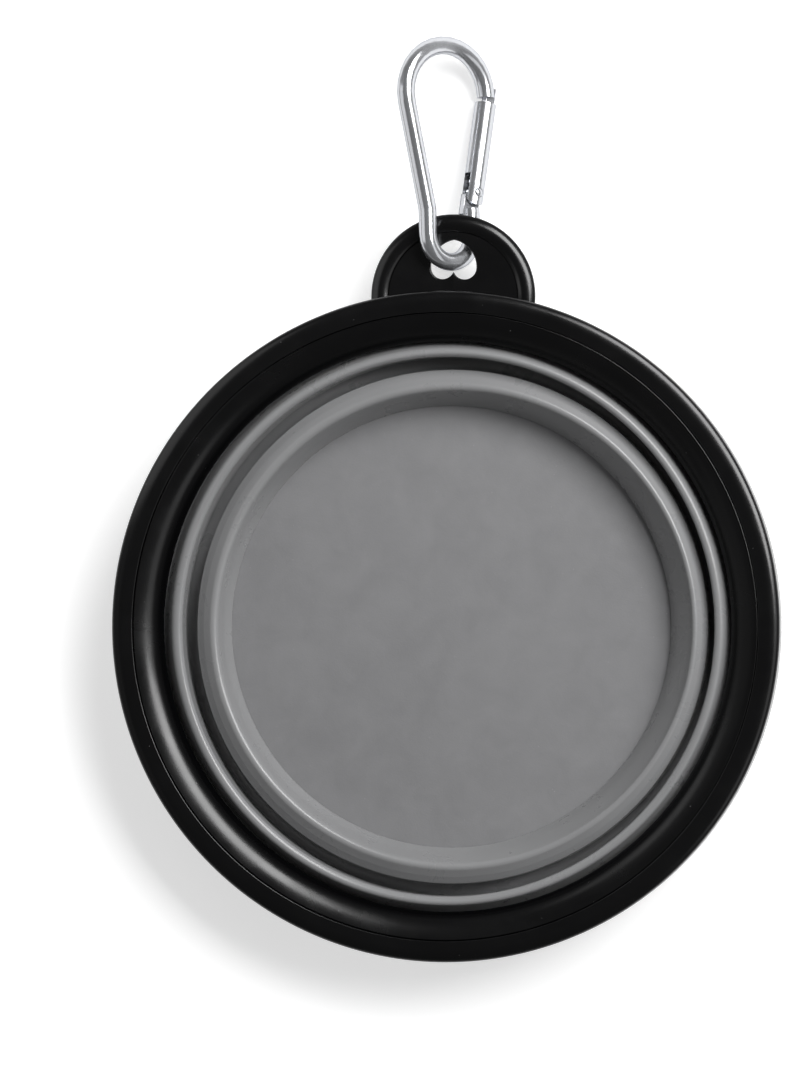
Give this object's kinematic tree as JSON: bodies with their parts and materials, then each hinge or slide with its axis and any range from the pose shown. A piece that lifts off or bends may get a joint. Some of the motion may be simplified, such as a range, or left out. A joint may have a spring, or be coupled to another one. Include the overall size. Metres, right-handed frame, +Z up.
{
  "type": "collapsible silicone bowl",
  "caption": "Round collapsible silicone bowl, folded flat, with a stiff base disc, a rigid rim, a hanging tab and a snap hook with a sprung gate.",
  "frame": {"origin": "on the floor under the middle of the base, where the bowl stands", "axes": "+Z up out of the bowl, +Y from the middle of the bowl to the hanging tab, +X to the right of the tab seen from above"},
  "size_m": [0.13, 0.1796, 0.0166],
  "materials": {
    "rim_black": "satin moulded, fine grain",
    "liner_black": "satin moulded",
    "silicone_grey": "soft satin silicone",
    "base_grey": "matte, cloudy",
    "hook_metal": "polished",
    "gate_metal": "polished",
    "spring_steel": "drawn wire"
  },
  "bodies": {
    "base": {"base_plate": "base_grey", "base_band": "silicone_grey", "lower_fold": "silicone_grey"},
    "middle": {"middle_band": "silicone_grey", "upper_fold": "silicone_grey"},
    "rim": {"rim_frame": "rim_black", "rim_liner": "liner_black", "outer_band": "silicone_grey"},
    "hook": {"carabiner_body": "hook_metal"},
    "gate": {"carabiner_gate": "gate_metal", "gate_rivet": "hook_metal", "gate_spring": "spring_steel"},
    "plunger": {"gate_plunger": "spring_steel"}
  },
  "joints": [
    {"name": "lower_unfold", "type": "slide", "parent": "base", "child": "middle", "axis": [0, 0, 1], "range_m": [0, 0.014], "deforming": ["lower_fold"]},
    {"name": "upper_unfold", "type": "slide", "parent": "middle", "child": "rim", "axis": [0, 0, 1], "range_m": [0, 0.0178], "deforming": ["upper_fold"]},
    {"name": "hook_swing", "type": "hinge", "parent": "rim", "child": "hook", "pos_m": [0, 0.0775, 0.0105], "axis": [0.74, 0.5, 0.45], "range_deg": [0, 105]},
    {"name": "gate_open", "type": "hinge", "parent": "hook", "child": "gate", "pos_m": [0.00304, 0.0843, 0.00548], "axis": [0.6662, 0.0742, 0.7421], "range_deg": [0, 30], "stiffness_Nm_per_rad": 0.02, "springref_deg": -34.38},
    {"name": "plunger_push", "type": "slide", "parent": "gate", "child": "plunger", "axis": [0.0971, 0.9779, -0.185], "range_m": [0, 0.00025], "stiffness_N_per_m": 2, "springref_m": -0.0003}
  ]
}
